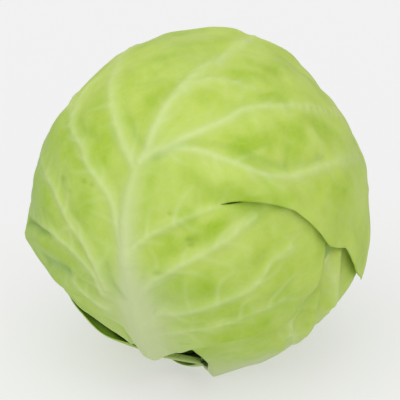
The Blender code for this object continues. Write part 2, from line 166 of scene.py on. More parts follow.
# Veins of the front leaf: height and half width in mm, then distance and direction of its points.
FRONT_RIBS = [
    (5.5, 8.5, [(35, -89), (22, -86), (8, -76), (5, 75), (14, 88)]),
    (3.6, 5.5, [(14, 88), (25, 91), (34, 90.5), (44, 89), (50, 87)]),
    (2.2, 4.0, [(50, 87), (66, 85), (81, 83), (95, 79), (113, 76), (126, 76)]),
    (1.7, 3.6, [(46, 90), (54, 98), (61, 103), (70, 107), (82, 111), (92, 113.5), (108, 117)]),
    (1.6, 3.4, [(14, 93), (32.5, 100.5), (41.6, 108), (48, 114), (55, 117.5), (63.5, 124), (74, 128),
                (95, 138)]),
    (1.2, 3.0, [(66, 125), (80, 124), (89, 118), (104, 117)]),
    (1.5, 3.4, [(9, 160), (17, 135), (24, 131.5), (33.5, 136), (41, 137), (48, 139), (59, 144.5),
                (80, 152)]),
    (1.5, 3.4, [(10, 178), (15, 149), (22, 147), (30, 150.5), (39, 156), (50, 165), (60, 172)]),
    (1.3, 3.2, [(12, -149), (18, -170), (24.5, 178), (33, 177.5), (44, 181)]),
    (1.4, 3.2, [(20, 83), (26, 71), (33, 60), (43.5, 49.5)]),
    (2.2, 3.8, [(48, 88), (52, 83), (55.5, 76), (57.5, 67), (59.3, 55), (62.3, 43.5), (70, 34.5),
                (83.5, 28), (108, 16)]),
    (2.0, 3.8, [(53, 80), (56.4, 76.6), (61.3, 72), (68.4, 66), (74, 63), (79.4, 60), (86.5, 53),
                (99.6, 42), (114, 31)]),
    (1.3, 3.6, [(72, 84.5), (80, 81), (85, 77.6), (88.4, 70), (89, 62)]),
    (1.8, 4.2, [(5, 34), (11.5, 44), (17, 40), (28, 36), (41, 33.4), (52, 33)]),
    (1.4, 3.4, [(10, -50), (11, -30), (17, -14), (26, -4), (34, 0), (40, 2.4), (45, 7.7), (50, 12),
                (58, 13)]),
    (1.0, 3.2, [(17.7, -66), (20, -39), (31, -22), (40, -14.5), (52, -8)]),
]

PLAIN_OUTLINE = [
    (-90, 33.8), (-78, 35.6), (-71, 40), (-64, 46), (-56, 54), (-46, 60), (-33, 65), (-15, 75), (0, 85),
    (15, 93), (28, 103), (44, 117), (64, 130), (90, 135),
]
PLAIN_SIDE_RIBS = [
    (1.3, 3.2, [(7, -45), (18, -16), (35, -9), (58, -3)]),
    (1.5, 3.4, [(7, 28), (20, 28), (45, 22), (76, 12)]),
    (1.6, 3.4, [(22, 83), (31, 66), (50, 50), (84, 34)]),
    (1.5, 3.4, [(48, 86), (57, 74), (76, 58), (102, 46)]),
    (1.2, 3.0, [(76, 87), (85, 78), (100, 68), (114, 60)]),
]
PLAIN_MIDRIB = [
    (5.0, 8.0, [(34, -90), (18, -90), (3, -90), (14, 90)]),
    (3.2, 5.0, [(14, 90), (30, 90), (52, 89)]),
    (2.0, 3.6, [(52, 89), (80, 91), (118, 90)]),
]
# Crumples where the right leaf's margin is caught under the front leaf, in the same form as ribs.
RIGHT_CRUMPLES = [
    (2.8, 4.0, [(50, 153), (42, 154), (36, 154), (28, 158)]),
    (-1.6, 3.4, [(50, 161), (44.5, 162), (38.5, 165), (31.5, 166)]),
    (3.0, 4.0, [(39, 168.5), (31, 174), (20, 184), (11, 194)]),
    (-1.8, 3.4, [(31.5, 180), (24, 190), (17, 200)]),
    (2.2, 4.0, [(27, 203), (20, 210), (14, 226)]),
]
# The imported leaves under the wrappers: how they stand round the stem, and their margins' steps.
PACKED_TURNS = (40, 165, 285)
PACKED_SHORTER = 14
PACKED_DROP = 2.4 * MM
PACKED_STEP = 0.8 * MM


def smoothstep(low, high, value):
    t = np.clip((value - low) / (high - low), 0.0, 1.0)
    return t * t * (3.0 - 2.0 * t)


def unit(vector):
    return vector / np.linalg.norm(vector)


def head_axes():
    """The stem's direction, the front leaf's side of the head, and its right-hand side."""
    lean, turn, roll = np.radians([STEM_LEAN, STEM_TURN, FRONT_ROLL])
    stem = np.array([-math.sin(lean) * math.sin(turn), -math.sin(lean) * math.cos(turn), -math.cos(lean)])
    top = unit(np.array([0.0, 0.0, 1.0]) - np.dot([0.0, 0.0, 1.0], stem) * stem)
    side = np.cross(top, stem)
    front = math.cos(roll) * top + math.sin(roll) * side
    return stem, front, np.cross(front, stem)


STEM_WAY, FRONT_WAY, SIDE_WAY = head_axes()


def polar_table(points):
    """A closed outline given by a few points, as a smooth reach for each whole degree."""
    angles, reaches = np.array(points, float).T
    degrees = np.arange(360.0)
    reach = np.interp(degrees, angles % 360, reaches, period=360)
    window = np.hanning(9)[1:-1]
    wrapped = np.concatenate([reach[-3:], reach, reach[:3]])
    return np.convolve(wrapped, window / window.sum(), "valid")


def gap_to(ways, route):
    """Distance on the head from each direction to a vein, and how far along the vein it is."""
    best = np.full(len(ways), np.inf)
    along = np.zeros(len(ways))
    for number, (start, end) in enumerate(zip(route[:-1], route[1:])):
        run = end - start
        t = np.clip((ways - start) @ run / (run @ run), 0, 1)
        gap = np.linalg.norm(ways - start - t[:, None] * run, axis=1)
        nearer = gap < best
        best = np.where(nearer, gap, best)
        along = np.where(nearer, (number + t) / (len(route) - 1), along)
    return best * HEART_RADIUS, along


def heart_radius(ways):
    """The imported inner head: a ball pressed a little along the stem's line and flat below."""
    radius = HEART_RADIUS * (1.0 - HEART_SQUASH * (ways @ STEM_WAY) ** 2)
    for turn, height, depth, width in HEART_SHAPE:
        a, b = math.radians(turn), math.radians(height)
        peak = np.array([math.cos(a) * math.cos(b), math.sin(a) * math.cos(b), math.sin(b)])
        radius += depth * MM * np.exp((ways @ peak - 1.0) / (1.0 - math.cos(math.radians(width))))
    down = np.maximum(-ways[:, 2], FLAT_REACH)
    flat = (HEART_RADIUS * (1.0 - HEART_SQUASH * STEM_WAY[2] ** 2) - FLAT_SPOT_DEPTH) / down
    return np.minimum(radius, flat)


def ripple(ways, pitch, seed):
    """A smooth random field over the head, of about unit size, with bumps a few pitches wide."""
    draw = np.random.default_rng(seed)
    field = np.zeros(len(ways))
    for _ in range(14):
        wave = draw.normal(size=3)
        wave *= draw.uniform(0.7, 1.4) / np.linalg.norm(wave) * 2 * math.pi * HEART_RADIUS / pitch
        field += np.sin(ways @ wave + draw.uniform(0, 2 * math.pi))
    return field / 2.65


class Leaf:
    """One wrapper leaf: where its midrib runs, its outline, its veins and the layers round it."""

    def __init__(self, name, azimuth, outline, ribs, folds=(), torn=False, frill=1.0, seed=1):
        self.name = name
        turn, rise = math.radians(azimuth), math.radians(CHART_RISE)
        front = math.cos(turn) * FRONT_WAY + math.sin(turn) * SIDE_WAY
        self.across = -math.sin(turn) * FRONT_WAY + math.cos(turn) * SIDE_WAY
        self.centre = math.cos(rise) * STEM_WAY + math.sin(rise) * front
        self.along = -math.sin(rise) * STEM_WAY + math.cos(rise) * front
        self.outline = polar_table(outline)
        self.torn = torn
        self.frill = frill
        self.seed = seed
        self.ribs = [(h * MM, w * MM, self.route(points)) for h, w, points in ribs]
        self.folds = [(h * MM, w * MM, self.route(points)) for h, w, points in folds]
        self.twigs = self.branch(ribs)
        self.phases = np.random.default_rng(seed).uniform(0, 2 * math.pi, len(WAVES))
        self.below = []
        self.above = []

    def direction(self, distance, angle):
        r, a = np.radians(distance), np.radians(angle)
        out = np.cos(a)[..., None] * self.across + np.sin(a)[..., None] * self.along
        return np.cos(r)[..., None] * self.centre + np.sin(r)[..., None] * out

    def polar(self, ways):
        distance = np.degrees(np.arccos(np.clip(ways @ self.centre, -1, 1)))
        return distance, np.degrees(np.arctan2(ways @ self.along, ways @ self.across))

    def route(self, points, steps=6):
        """A vein's points as unit vectors, with a smooth run of more between them."""
        corners = self.direction(*np.array(points, float).T)
        padded = np.vstack([2 * corners[0] - corners[1], corners, 2 * corners[-1] - corners[-2]])
        line = []
        for a, b, c, d in zip(padded[:-3], padded[1:-2], padded[2:-1], padded[3:]):
            for t in np.linspace(0, 1, steps, endpoint=False):
                bend = (2 * a - 5 * b + 4 * c - d) * t**2 + (3 * b - a - 3 * c + d) * t**3
                line.append(0.5 * (2 * b + (c - a) * t + bend))
        line = np.array(line + [corners[-1]])
        return line / np.linalg.norm(line, axis=1)[:, None]

    def branch(self, ribs):
        """Fine veins that leave the raised ones left and right in turn and wander outwards."""
        draw = np.random.default_rng(self.seed + 60)
        twigs = []
        for _, _, points in ribs[1:]:
            flat = [(d * math.cos(math.radians(a)), d * math.sin(math.radians(a))) for d, a in points]
            side = draw.choice((-1, 1))
            for start, end in zip(flat[:-1], flat[1:]):
                run = math.dist(start, end)
                heading = math.atan2(end[1] - start[1], end[0] - start[0])
                for k in range(round(run / TWIG_PITCH)):
                    side = -side
                    share = (k + draw.uniform(0.2, 0.8)) * TWIG_PITCH / run
                    x = start[0] + (end[0] - start[0]) * share
                    y = start[1] + (end[1] - start[1]) * share
                    way = heading + side * math.radians(draw.uniform(*TWIG_TURN))
                    stride = draw.uniform(*TWIG_LENGTH) / 5
                    line = [(math.hypot(x, y), math.degrees(math.atan2(y, x)))]
                    for _ in range(5):
                        way += draw.normal(0, 0.28) - side * 0.07
                        x, y = x + stride * math.cos(way), y + stride * math.sin(way)
                        line.append((math.hypot(x, y), math.degrees(math.atan2(y, x))))
                    twigs.append((draw.uniform(0.45, 1.0), self.route(line, steps=2)))
        return twigs

    def reach(self, angle):
        return np.interp(angle % 360, np.arange(361.0), np.append(self.outline, self.outline[0]))

    def cover(self, ways):
        """1 where this leaf lies, easing to 0 just outside its margin."""
        distance, angle = self.polar(ways)
        return smoothstep(-DRAPE[0], -DRAPE[1], self.reach(angle) - distance)

    def pressed(self, ways):
        """1 where nothing lies on this leaf, and less where leaves or the floor press it flat."""
        free = smoothstep(*FLAT_SPREAD, np.degrees(np.arccos(np.clip(-ways[:, 2], -1, 1))))
        for leaf in self.above:
            free *= 1.0 - leaf.cover(ways)
        return free

    def midrib_height(self, ways):
        tall, wide, route = self.ribs[0]
        return tall * np.exp(-((gap_to(ways, route)[0] / wide) ** 2))

    def fold_height(self, ways):
        """Height of the crumples, which stop where a leaf above lies on them."""
        height = np.zeros(len(ways))
        for tall, wide, route in self.folds:
            height += tall * np.exp(-((gap_to(ways, route)[0] / wide) ** 2))
        for leaf in self.above:
            distance, angle = leaf.polar(ways)
            height *= 1.0 - smoothstep(-FOLD_DRAPE[0], -FOLD_DRAPE[1], leaf.reach(angle) - distance)
        return height

    def veins(self, ways):
        """Height of the raised veins, how pale each point is from them, and the nearest gap."""
        height = np.zeros(len(ways))
        pale = np.zeros(len(ways))
        nearest = np.full(len(ways), np.inf)
        for tall, wide, route in self.ribs:
            gap, along = gap_to(ways, route)
            taper = 1.0 - VEIN_TAPER * along
            spread = wide * (1.0 - 0.4 * along)
            height = np.maximum(height, tall * taper * np.exp(-((gap / spread) ** 2)))
            strength = np.clip(tall / PALE_VEIN, 0, 1) * taper
            line = 0.5 * np.exp(-((gap / (0.42 * spread)) ** 2)) + 0.5 * np.exp(-((gap / (PALE_SPREAD * spread)) ** 2))
            pale = np.maximum(pale, strength * line)
            nearest = np.minimum(nearest, gap)
        return height, pale, nearest

    def twig_strength(self, ways):
        """How strongly a fine vein shows at each point, from 0 to 1."""
        shown = np.zeros(len(ways))
        for strength, route in self.twigs:
            near = ways @ route[len(route) // 2] > math.cos(math.radians(TWIG_LENGTH[1]))
            gap, along = gap_to(ways[near], route)
            line = strength * (1 - 0.6 * along) * np.exp(-((gap / TWIG_HALF_WIDTH) ** 2))
            shown[near] = np.maximum(shown[near], line)
        return shown


def bed_radius(leaf, ways):
    """How far out the leaf's inner face lies: on the heart and every leaf already laid."""
    radius = heart_radius(ways) + LAYER_GAP
    for lower in leaf.below:
        room = RIB_ROOM_PRESSED + (1 - RIB_ROOM_PRESSED) * lower.pressed(ways)
        radius += lower.cover(ways) * (CAD_BLADE + LAYER_GAP + lower.midrib_height(ways) * room)
    return radius


def tear_at(distance):
    """Upper edge's direction, tuck of the lower lobe and lift of the upper one, at a distance."""
    table = np.array(TEAR, float)
    return [np.interp(distance, table[:, 0], table[:, column]) for column in (1, 2, 3)]


def lobe_reach(angle, lower):
    """How far the torn leaf reaches: the lobe over the tear runs on past the one under it."""
    top_angles, top_reaches = np.array(FRONT_OUTLINE_TOP, float).T
    low_angles, low_reaches = np.array(FRONT_OUTLINE, float).T
    top = np.interp(angle, top_angles, top_reaches)
    low = np.interp(angle - 360.0, low_angles, low_reaches)
    return np.where(lower & (angle > 270.0), low, top)


def lay_out(leaf, turn, out):
    """Distance and direction in the leaf's chart for each vertex of its rolled-out grid."""
    if not leaf.torn:
        angle = 360.0 * turn
        return out * leaf.reach(angle), angle
    start = TEAR[0][1]
    lower = turn >= 0.5
    near = 1.0 - smoothstep(0.0, TEAR_SPREAD, np.minimum(turn, 1.0 - turn))

    def bearing(distance):
        edge, tuck, _ = tear_at(distance)
        return start + 360.0 * turn + (edge - start + np.where(lower, tuck, 0.0)) * near

    reach = np.where(lower, *LOBE_START)
    for _ in range(LOBE_ROUNDS):
        reach = 0.5 * reach + 0.5 * lobe_reach(bearing(reach), lower)
    knee = 0.5 * reach * (1.0 - near) + TEAR_TIP * near
    distance = np.where(out < 0.5, knee * out * 2, knee + (reach - knee) * (out - 0.5) * 2)
    return distance, bearing(distance)


def stand_off(leaf, turn, out, distance, angle):
    """How far the blade lifts off its bed: at the waved margin and along the tear."""
    reach = leaf.reach(angle)
    from_margin = np.clip(1.0 - out, 0, 1) * reach * HEART_RADIUS * math.pi / 180
    wave = np.full(len(angle), WAVE_BASE)
    for (count, height), phase in zip(WAVES, leaf.phases):
        wave += height * np.sin(count * np.radians(angle) + phase)
    lift = leaf.frill * MM * np.maximum(wave, 0.0) * np.exp(-((from_margin / WAVE_DEPTH) ** 2))
    lift *= smoothstep(*WAVE_ONSET, reach)
    if leaf.torn:
        edge, _, rise = tear_at(distance)
        side = (angle - edge) * np.sin(np.radians(distance)) * HEART_RADIUS * math.pi / 180
        lift += np.where(turn < 0.5, rise * MM * (1 - smoothstep(*TEAR_LIFT, side)), 0.0)
    return lift


def mirrored(half):
    """A full outline from its right half."""
    return half + [(180 - angle, reach) for angle, reach in half if abs(angle) != 90]


def plain_ribs(seed):
    """Midrib and side veins of a wrapper leaf, with the small unevenness of a grown one."""
    draw = np.random.default_rng(seed)
    ribs = list(PLAIN_MIDRIB)
    for side in (1, -1):
        for tall, wide, points in PLAIN_SIDE_RIBS:
            shift, stretch = draw.uniform(-4, 4), draw.uniform(0.94, 1.06)
            angles = [angle + shift * k / 2 for k, (_, angle) in enumerate(points)]
            moved = [(d * stretch, a if side > 0 else 180 - a) for (d, _), a in zip(points, angles)]
            ribs.append((tall, wide, moved))
    return ribs


def shortened(outline, tip, side=1.0):
    """The plain outline with another reach at the tip and at the sides."""
    factors = [np.interp(angle, (-45, -10, 10, 60), (1.0, side, side, tip)) for angle, _ in outline]
    return [(angle, reach * factor) for (angle, reach), factor in zip(outline, factors)]


def wrapper_leaves():
    """The leaves from the innermost to the outermost, each told what lies under and over it."""
    left = Leaf("leaf_left", -108, mirrored(shortened(PLAIN_OUTLINE, 1.10, 1.03)), plain_ribs(5),
                frill=1.2, seed=5)
    back = Leaf("leaf_back", -170, mirrored(shortened(PLAIN_OUTLINE, 1.0, 0.9)), plain_ribs(8),
                frill=1.5, seed=8)
    right = Leaf("leaf_right", 126, mirrored(shortened(PLAIN_OUTLINE, 0.98, 1.05)), plain_ribs(3),
                 folds=RIGHT_CRUMPLES, frill=1.5, seed=3)
    front = Leaf("leaf_front", 0, FRONT_OUTLINE[:-2] + FRONT_OUTLINE_TOP[3:-1], FRONT_RIBS,
                 folds=FRONT_CREASES, torn=True, frill=0.8, seed=2)
    leaves = [left, back, right, front]
    for level, leaf in enumerate(leaves):
        leaf.below = leaves[:level]
        leaf.above = leaves[level + 1:]
    return {leaf.name: leaf for leaf in leaves}


LEAVES = wrapper_leaves()
DOWN = np.array([[0.0, 0.0, -1.0]])
HEAD_RISE = float(bed_radius(LEAVES["leaf_right"], DOWN)[0]) + CAD_BLADE - FLOOR_TRIM
HEAD_CENTRE = np.array([0.0, 0.0, HEAD_RISE])


def linear(code):
    """An sRGB hex colour as linear red, green, blue and alpha."""
    parts = [int(code[k:k + 2], 16) / 255 for k in (1, 3, 5)]
    return tuple(c / 12.92 if c <= 0.04045 else ((c + 0.055) / 1.055) ** 2.4 for c in parts) + (1.0,)


def node(tree, kind, sockets=None, **settings):
    """Adds a node with its settings, and links or sets the sockets named or numbered."""
    made = tree.nodes.new(kind)
    for key, value in settings.items():
        setattr(made, key, value)
    for key, value in (sockets or {}).items():
        if isinstance(value, bpy.types.NodeSocket):
            tree.links.new(value, made.inputs[key])
        else:
            made.inputs[key].default_value = value
    return made


def new_material(name):
    made = bpy.data.materials.new(name)
    made.use_nodes = True
    made.node_tree.nodes.clear()
    return made, made.node_tree


def opaque(colour):
    """A colour property's red, green and blue with full alpha."""
    return (*colour, 1.0)


def leaf_material(look):
    """Living cabbage blade, grown: waxy and satin, so its highlights are broad and soft; its colour also holds painted
    light and shade.
    """
    made, tree = new_material("Waxy cabbage leaf blade, grown")
    place = node(tree, "ShaderNodeTexCoord").outputs["Object"]
    chart = node(tree, "ShaderNodeUVMap", uv_map="chart").outputs["UV"]
    layers = {}
    for name in ("light", "pale", "twig", "foot", "shade", "rich", "bruise"):
        layers[name] = node(tree, "ShaderNodeAttribute", attribute_name=name).outputs["Fac"]

    # Sappier and thinner parts of a leaf differ in green over 20 to 30 mm.
    blotch = node(tree, "ShaderNodeTexNoise", {"Vector": place, "Scale": 34.0, "Detail": 2.5, "Roughness": 0.5})
    near = node(tree, "ShaderNodeMapRange", {"Value": blotch.outputs["Fac"], 1: 0.36, 2: 0.64, 3: 0.0, 4: 0.28})
    # Painted light and shade: the blade is mixed lighter and yellower on the head's upper right, greener on its lower
    # left.
    blade = node(tree, "ShaderNodeMix", {0: layers["light"], 6: opaque(look.blade_painted_shade_side), 7: opaque(look.blade_painted_lit_top)},
                 data_type="RGBA")
    blade = node(tree, "ShaderNodeMix", {0: near.outputs[0], 6: blade.outputs[2], 7: opaque(look.blade_light)},
                 data_type="RGBA")
    # The cells' fine grain, under a millimetre, is only just seen.
    grain = node(tree, "ShaderNodeTexNoise", {"Vector": place, "Scale": 260.0, "Detail": 3.0, "Roughness": 0.6})
    speck = node(tree, "ShaderNodeMapRange", {"Value": grain.outputs["Fac"], 1: 0.4, 2: 0.7, 3: 0.0, 4: 0.10})
    blade = node(tree, "ShaderNodeMix", {0: speck.outputs[0], 6: blade.outputs[2], 7: opaque(look.vein_pale)},
                 data_type="RGBA")
    blade = node(tree, "ShaderNodeMix", {0: layers["rich"], 6: blade.outputs[2], 7: opaque(look.rich_green)},
                 data_type="RGBA")
    # The finest veins close small cells of 4 to 6 mm, and show as a faint pale net.
    bend = node(tree, "ShaderNodeTexNoise", {"Vector": chart, "Scale": 110.0, "Detail": 2.0})
    shift = node(tree, "ShaderNodeVectorMath", {0: bend.outputs["Color"], "Scale": 0.006}, operation="SCALE")
    bent = node(tree, "ShaderNodeVectorMath", {0: chart, 1: shift.outputs[0]}, operation="ADD")
    cells = node(tree, "ShaderNodeTexVoronoi", {"Vector": bent.outputs[0], "Scale": 150.0},
                 feature="DISTANCE_TO_EDGE")
    net = node(tree, "ShaderNodeMapRange", {"Value": cells.outputs["Distance"], 1: 0.0, 2: 0.16, 3: 0.07, 4: 0.0})
    fine = node(tree, "ShaderNodeMath", {0: layers["twig"], 1: look.twig_shown}, operation="MULTIPLY")
    fine = node(tree, "ShaderNodeMath", {0: fine.outputs[0], 1: net.outputs[0]}, operation="MAXIMUM")
    colour = node(tree, "ShaderNodeMix", {0: fine.outputs[0], 6: blade.outputs[2], 7: opaque(look.vein_pale)},
                  data_type="RGBA")
    pale = node(tree, "ShaderNodeMath", {0: layers["pale"], 1: look.vein_shown}, operation="MULTIPLY")
    colour = node(tree, "ShaderNodeMix", {0: pale.outputs[0], 6: colour.outputs[2], 7: opaque(look.vein_pale)},
                  data_type="RGBA")
    colour = node(tree, "ShaderNodeMix", {0: layers["foot"], 6: colour.outputs[2], 7: opaque(look.foot_pale)},
                  data_type="RGBA")
    # Painted shade: deeper green in creases, just past the margins of leaves lying above, and on the front leaf's left
    # side.
    colour = node(tree, "ShaderNodeMix", {0: layers["shade"], 6: colour.outputs[2], 7: opaque(look.shade_green)},
                  data_type="RGBA")
    colour = node(tree, "ShaderNodeMix", {0: layers["bruise"], 6: colour.outputs[2], 7: opaque(look.bruise)},
                  data_type="RGBA")

    raised = node(tree, "ShaderNodeMath", {0: fine.outputs[0], 1: grain.outputs["Fac"]}, operation="ADD")
    bump = node(tree, "ShaderNodeBump", {"Height": raised.outputs[0], "Strength": 0.3, "Distance": 0.0005})
    shader = node(tree, "ShaderNodeBsdfPrincipled", {
        "Base Color": colour.outputs[2], "Normal": bump.outputs["Normal"], "Roughness": look.wax_roughness,
        "IOR": 1.42, "Specular IOR Level": 0.3, "Subsurface Weight": 0.1,
        "Subsurface Radius": (0.6, 1.0, 0.25), "Subsurface Scale": 0.003})
    node(tree, "ShaderNodeOutputMaterial", {"Surface": shader.outputs["BSDF"]})
    return made


def pith_material(look):
    """Cut cabbage stump: dried pith, matte, ringed by a greener fibrous rind."""
    made, tree = new_material("Cut stem pith, dried")
    place = node(tree, "ShaderNodeTexCoord").outputs["Object"]
    rind = node(tree, "ShaderNodeAttribute", attribute_name="rind").outputs["Fac"]
    # Dried pith is mottled over 2 to 3 mm, with open pores of about 1.5 mm.
    grain = node(tree, "ShaderNodeTexNoise", {"Vector": place, "Scale": 420.0, "Detail": 4.0, "Roughness": 0.6})
    pores = node(tree, "ShaderNodeTexVoronoi", {"Vector": place, "Scale": 700.0})
    pith = node(tree, "ShaderNodeMix", {0: grain.outputs["Fac"], 6: opaque(look.pith_dark), 7: opaque(look.pith_light)},
                data_type="RGBA")
    colour = node(tree, "ShaderNodeMix", {0: rind, 6: pith.outputs[2], 7: opaque(look.rind_green)}, data_type="RGBA")
    height = node(tree, "ShaderNodeMath", {0: grain.outputs["Fac"], 1: pores.outputs["Distance"]}, operation="ADD")
    bump = node(tree, "ShaderNodeBump", {"Height": height.outputs[0], "Strength": 0.5, "Distance": 0.0006})
    shader = node(tree, "ShaderNodeBsdfPrincipled", {
        "Base Color": colour.outputs[2], "Normal": bump.outputs["Normal"], "Roughness": 0.72})
    node(tree, "ShaderNodeOutputMaterial", {"Surface": shader.outputs["BSDF"]})
    return made


def floor_material(look):
    """Opal acrylic of a light table, cast and sanded matte: lit from beneath, so shadows stay pale."""
    made, tree = new_material("Opal acrylic light table, sanded")
    place = node(tree, "ShaderNodeTexCoord").outputs["Object"]
    tooth = node(tree, "ShaderNodeTexNoise", {"Vector": place, "Scale": 900.0, "Detail": 2.0})
    bump = node(tree, "ShaderNodeBump", {"Height": tooth.outputs["Fac"], "Strength": 0.05, "Distance": 0.0002})
    surface = tuple(part * (1 - look.floor_glow) for part in look.floor)
    shader = node(tree, "ShaderNodeBsdfPrincipled", {
        "Base Color": opaque(surface), "Normal": bump.outputs["Normal"], "Roughness": 0.9,
        "Specular IOR Level": 0.0, "Emission Color": opaque(look.floor), "Emission Strength": look.floor_glow})
    node(tree, "ShaderNodeOutputMaterial", {"Surface": shader.outputs["BSDF"]})
    return made


def set_attribute(mesh, name, values):
    layer = mesh.attributes.new(name, "FLOAT", "POINT")
    layer.data.foreach_set("value", np.ascontiguousarray(values, dtype=np.float32))


def as_object(name, bm, skin):
    """A mesh from the bmesh, shaded smooth, as an object in the scene that rides on the head."""
    mesh = bpy.data.meshes.new(name)
    bm.to_mesh(mesh)
    bm.free()
    mesh.materials.append(skin)
    mesh.shade_smooth()
    made = bpy.data.objects.new(name, mesh)
    bpy.context.scene.collection.objects.link(made)
    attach(made, "root")
    return made


def blade_relief(leaf, ways, nearest):
    """Soft puffs between the veins and small unevenness of the blade, in metres."""
    puff = PUFF * smoothstep(2.0 * MM, 11.0 * MM, nearest)
    wander = 0.42 * MM * ripple(ways, 34 * MM, leaf.seed + 20)
    return puff + wander + 0.16 * MM * ripple(ways, 12 * MM, leaf.seed + 40)


def leaf_surface(leaf, turn, out, outer):
    """Position of each vertex of the inner or the outer face, from the head's centre."""
    distance, angle = lay_out(leaf, turn, out)
    ways = leaf.direction(distance, angle)
    free = leaf.pressed(ways)
    height, _, nearest = leaf.veins(ways)
    rest = RIB_PRESSED + (1 - RIB_PRESSED) * free
    radius = bed_radius(leaf, ways) + stand_off(leaf, turn, out, distance, angle) * free
    radius += leaf.fold_height(ways)
    relief = blade_relief(leaf, ways, nearest) * rest * smoothstep(0, 0.08, 1.0 - out)
    radius += np.maximum(relief, -0.4 * MM)
    if outer:
        thin = smoothstep(0.0, THIN_RIM, 1.0 - out)
        radius += BLADE_RIM + (BLADE_MIDDLE - BLADE_RIM) * thin
        radius += (height * (0.35 + 0.65 * thin) + TWIG_HEIGHT * leaf.twig_strength(ways)) * rest
    return ways * radius[:, None]


def leaf_foot(leaf, ways):
    """1 at the whitish foot of the leaf by the stem, easing out along the midrib."""
    from_stem = np.degrees(np.arccos(np.clip(ways @ STEM_WAY, -1, 1)))
    lower = gap_to(ways, leaf.ribs[0][2])[0]
    upper = gap_to(ways, leaf.ribs[1][2])[0]
    fan = np.exp(-((lower / (20 * MM)) ** 2)) * (1 - smoothstep(44, 66, from_stem))
    rib = np.exp(-((np.minimum(lower, upper) / (6 * MM)) ** 2)) * (1 - smoothstep(60, 102, from_stem))
    return np.clip(0.7 * fan + 0.6 * rib, 0, 0.85)


def leaf_painted_light(leaf, ways):
    """Painted light and shade: 1 on the head's top and right, where the green is painted yellower and lighter as on a
    lit side, easing to 0 on the lower left, with a faint random unevenness.
    """
    facing = ways @ unit(np.array([0.55, -0.1, 0.85]))
    return np.clip(smoothstep(-0.75, 0.75, facing) + 0.08 * ripple(ways, 70 * MM, 5), 0, 1)


def leaf_painted_shade(leaf, ways):
    """Painted shade: deeper green in the pressed creases, in a strip just past the margin of each leaf lying above, and
    over the front leaf's far left side, with a faint random unevenness.
    """
    shade = 0.05 * ripple(ways, 50 * MM, 77)
    if leaf.name != "leaf_front":
        # Painted shadow of each leaf lying above, in a strip just past its margin.
        for upper in leaf.above:
            distance, angle = upper.polar(ways)
            shade += 0.55 * smoothstep(-1.8, -0.4, upper.reach(angle) - distance)
        return np.clip(shade, 0, 0.85)
    # Painted shade in the pressed creases.
    for tall, wide, route in leaf.folds:
        if tall < 0:
            shade += 0.22 * min(-tall / MM, 2.0) * np.exp(-((gap_to(ways, route)[0] / wide) ** 2))
    distance, angle = leaf.polar(ways)
    # Painted shade over the front leaf's far left side.
    left = smoothstep(30, 60, distance) * smoothstep(0.55, 1.0, -np.cos(np.radians(angle)))
    return np.clip(shade + 0.35 * left, 0, 0.9)


def leaf_rich(leaf, ways, nearest):
    """Fuller green in the blade between the veins, in soft uneven clouds."""
    clouds = 0.5 + 0.5 * ripple(ways, 26 * MM, leaf.seed + 80) + 0.25 * ripple(ways, 9 * MM, leaf.seed + 90)
    between = smoothstep(2.5 * MM, 9.0 * MM, nearest)
    return np.clip(0.28 * between * clouds + 0.8 * patches(leaf, ways, FRONT_PATCHES, 1.15), 0, 1)


def patches(leaf, ways, marks, stretch):
    """Soft-edged patches of the front leaf at the listed places."""
    total = np.zeros(len(ways))
    if leaf.name != "leaf_front":
        return total
    distance, angle = leaf.polar(ways)
    x, y = distance * np.cos(np.radians(angle)), distance * np.sin(np.radians(angle))
    wobble = 1.25 + 0.4 * ripple(ways, 14 * MM, 31)
    for away, way, size, strength in marks:
        dx = x - away * math.cos(math.radians(way))
        dy = y - away * math.sin(math.radians(way))
        spot = np.exp(-((np.hypot(dx, stretch * dy) / (size * wobble)) ** 2))
        total = np.maximum(total, strength * spot)
    return total


def mesh_ways(mesh):
    """Direction of each of the mesh's vertices from the head's centre."""
    points = np.empty(len(mesh.vertices) * 3)
    mesh.vertices.foreach_get("co", points)
    ways = points.reshape(-1, 3) - HEAD_CENTRE
    return ways / np.linalg.norm(ways, axis=1)[:, None]


def paint_leaf(leaf, mesh):
    """Gives the mesh its chart as a UV map in metres, and what the material reads at each point."""
    ways = mesh_ways(mesh)
    distance, angle = leaf.polar(ways)
    foot = leaf_foot(leaf, ways)
    # Painted light: how far each point faces the head's lit upper right.
    set_attribute(mesh, "light", leaf_painted_light(leaf, ways))
    _, pale, nearest = leaf.veins(ways)
    set_attribute(mesh, "pale", pale)
    set_attribute(mesh, "twig", leaf.twig_strength(ways) * (1 - foot))
    set_attribute(mesh, "foot", foot)
    set_attribute(mesh, "shade", leaf_painted_shade(leaf, ways))
    set_attribute(mesh, "rich", leaf_rich(leaf, ways, nearest))
    set_attribute(mesh, "bruise", patches(leaf, ways, FRONT_BRUISES, 1.7))
    r = np.radians(distance) * HEART_RADIUS
    chart = np.stack([r * np.cos(np.radians(angle)), r * np.sin(np.radians(angle))], 1)
    corner = np.empty(len(mesh.loops), dtype=np.int32)
    mesh.loops.foreach_get("vertex_index", corner)
    layer = mesh.uv_layers.new(name="chart")
    layer.data.foreach_set("uv", chart[corner].astype(np.float32).ravel())


